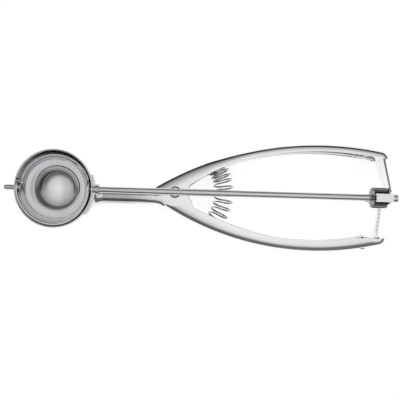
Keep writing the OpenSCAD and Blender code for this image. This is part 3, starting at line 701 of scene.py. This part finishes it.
flareLook = {
    "startX": 44.9, "endX": 60.0, "middleY": -3.2, "radius": 4.8, "lowY": -8.2, "highY": 2.48,
    "topZ": -3.8, "bottomZ": -23.5, "lowRound": 4.4, "crownDepth": 6.0, "crownDrop": 2.4,
    "flareFrom": 0.3, "steps": 24, "cornerSteps": 10, "smoothUnder": 40,
}


def flareOutline(share):
    # closed outline (y, z) from the round stem at 0 to the handle's section at 1
    look = flareLook
    late = max(0, (share - look["flareFrom"]) / (1 - look["flareFrom"]))
    ease = late * late * (3 - 2 * late)

    def between(low, high):
        return low + (high - low) * ease

    radius = look["radius"]
    low = between(look["middleY"] - radius, look["lowY"])
    high = between(look["middleY"] + radius, look["highY"])
    top, bottom = look["topZ"], between(look["topZ"] - 2 * radius, look["bottomZ"])
    farY, farZ = between(radius, look["crownDepth"]), between(radius, look["crownDrop"])
    nearY = nearZ = between(radius, look["lowRound"])
    corners = ((high - farY, top - farZ, farY, farZ, 0),
               (low + nearY, top - nearZ, nearY, nearZ, 90),
               (low + nearY, bottom + nearZ, nearY, nearZ, 180),
               (high - farY, bottom + farZ, farY, farZ, 270))
    points = []
    for y, z, wide, tall, first in corners:
        for i in range(look["cornerSteps"] + 1):
            a = math.radians(first + 90 * i / look["cornerSteps"])
            points.append((y + wide * math.cos(a), z + tall * math.sin(a)))
    return points


def makeFlare():
    look = flareLook
    outline = flareOutline(0)
    deselectAll()
    bpy.ops.mesh.primitive_circle_add(vertices=len(outline), radius=look["radius"] * mm, fill_type="NGON")
    piece = bpy.context.object
    piece.name = piece.data.name = "stemFlare"
    bpy.ops.object.mode_set(mode="EDIT")
    bpy.ops.mesh.select_all(action="SELECT")
    for i in range(look["steps"]):
        bpy.ops.mesh.extrude_region_move(TRANSFORM_OT_translate={"value": (0, 0, mm)})
    mesh = bmesh.from_edit_mesh(piece.data)
    rings = {}
    for vert in mesh.verts:
        rings.setdefault(round(vert.co.z / mm), []).append(vert)
    for ring, verts in rings.items():
        share = ring / look["steps"]
        x = look["startX"] + (look["endX"] - look["startX"]) * share
        verts.sort(key=lambda vert: math.atan2(vert.co.y, vert.co.x) % math.tau)
        for vert, (y, z) in zip(verts, flareOutline(share)):
            vert.co = rodAxis + Vector((x, y, z)) * mm
    bmesh.update_edit_mesh(piece.data)
    bpy.ops.mesh.select_all(action="SELECT")
    bpy.ops.mesh.remove_doubles(threshold=mergeGap)
    bpy.ops.mesh.normals_make_consistent(inside=False)
    bpy.ops.object.mode_set(mode="OBJECT")
    smoothPiece(piece, look["smoothUnder"])
    # the flare takes the darkened steel, a painted dark reflection fading out towards the handle
    dressPiece(piece, "frame", "polished_steel", ("stem_neck",), "flare_steel_painted_dark")


makeFlare()
print("flare made")


# bowl

bowlLook = {
    "outside": 23.5, "wall": 1.0, "rim": 3.0, "rimRound": 0.48,
    "rodHole": 2.7, "pinHole": 1.71, "holeDepth": 6.0,
    "lineRadius": 17.68, "lineDepth": 0.16, "lineWide": 0.36,
    "steps": 160, "wallSteps": 40, "rimSteps": 5, "bandSteps": 14, "smoothUnder": 30,
}


def makeBowl():
    outside, wall, rim = bowlLook["outside"], bowlLook["wall"], bowlLook["rim"]
    inside, lip = outside - wall, bowlLook["rimRound"]
    wallSteps, rimSteps = bowlLook["wallSteps"], bowlLook["rimSteps"]
    outline = arcPoints(0, 0, outside, 180, 90, wallSteps)                 # outer ball, bottom to band
    outline += arcPoints(rim - lip, outside - lip, lip, 90, 0, rimSteps)   # outer round of the rim
    outline += arcPoints(rim - lip, inside + lip, lip, 0, -90, rimSteps)   # inner round of the rim
    # inner ball from the band to the bottom, with the fine drawn line on its way
    height = math.degrees(math.asin(bowlLook["lineRadius"] / inside))
    half = math.degrees(bowlLook["lineWide"] / 2 / inside)
    outline += arcPoints(0, 0, inside, 90, 180 - height - half, bowlLook["bandSteps"])
    outline += arcPoints(0, 0, inside + bowlLook["lineDepth"], 180 - height, 180 - height, 1)[:1]
    outline += arcPoints(0, 0, inside, 180 - height + half, 180, wallSteps)
    outline = [(a * mm, r * mm) for a, r in outline]
    piece = turnedPiece("roundBowl", outline, rodAxis, (0, 0, 1), bowlLook["steps"])
    for side, radius in ((1, bowlLook["rodHole"]), (-1, bowlLook["pinHole"])):
        place = rodAxis + Vector((side * (outside - wall / 2) * mm, 0, 0))
        drill(piece, radius, bowlLook["holeDepth"], place, (0, math.pi / 2, 0))
    smoothPiece(piece, bowlLook["smoothUnder"])
    dressPiece(piece, "frame", "polished_steel", ("bowl",))


makeBowl()
print("bowl made")


# return spring

springLook = {
    "pathRadius": 30.3, "coilRadius": 6.4, "wireRadius": 0.56, "turns": 10,
    "startAngle": -39.0, "endAngle": 32.0, "openTurns": 6.75, "openPitch": 8.0, "firstPhase": 0.26,
    "ringOpen": 0.18, "stepFrom": 0.28, "stepsATurn": 32, "roundSteps": 3, "smoothUnder": 40,
}


def coilAngle(turn):
    # open turns first, then the crowded ones up to the last angle
    look = springLook
    openEnd = look["startAngle"] + look["openPitch"] * look["openTurns"]
    if turn <= look["openTurns"]:
        return look["startAngle"] + look["openPitch"] * turn
    share = (turn - look["openTurns"]) / (look["turns"] - look["openTurns"])
    return openEnd + (look["endAngle"] - openEnd) * share


def ringTurn(turn):
    # each ring lies nearly flat and steps on to the next one at the side next to the pivot
    look = springLook
    whole = turn + look["firstPhase"]
    part = whole - math.floor(whole)
    t = min(1, max(0, (part - look["stepFrom"]) / (1 - 2 * look["stepFrom"])))
    along = math.floor(whole) + t * t * (3 - 2 * t) + look["ringOpen"] * math.sin(math.tau * part)
    return min(look["turns"], max(0, along - look["firstPhase"]))


def makeSpring():
    look = springLook
    wire = look["wireRadius"]
    middle = look["coilRadius"] - wire
    total = look["turns"] * look["stepsATurn"]
    places = []
    for i in range(total + 1):
        turn = i / look["stepsATurn"]
        w = math.tau * (turn + look["firstPhase"])
        a = math.radians(coilAngle(ringTurn(turn)))
        out = Vector((math.cos(a), math.sin(a), 0))
        flat = middle * (math.cos(w) * out + math.sin(w) * Vector((0, 0, 1)))
        places.append(pivotPoint + (look["pathRadius"] * out + flat) * mm)
    curve = bpy.data.curves.new("handleSpring", "CURVE")
    curve.dimensions = "3D"
    curve.bevel_depth = wire * mm
    curve.bevel_resolution = look["roundSteps"]
    curve.use_fill_caps = True
    spline = curve.splines.new("POLY")
    spline.points.add(len(places) - 1)
    for point, place in zip(spline.points, places):
        point.co = (*place, 1)
    piece = bpy.data.objects.new("handleSpring", curve)
    bpy.context.scene.collection.objects.link(piece)
    pickOnly(piece)
    bpy.ops.object.convert(target="MESH")
    piece = bpy.context.object
    smoothPiece(piece, look["smoothUnder"])
    setInPlace(piece)
    piece.data.materials.append(finishes["spring_steel"])
    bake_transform(piece)
    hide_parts("return_spring")


makeSpring()
print("spring made")
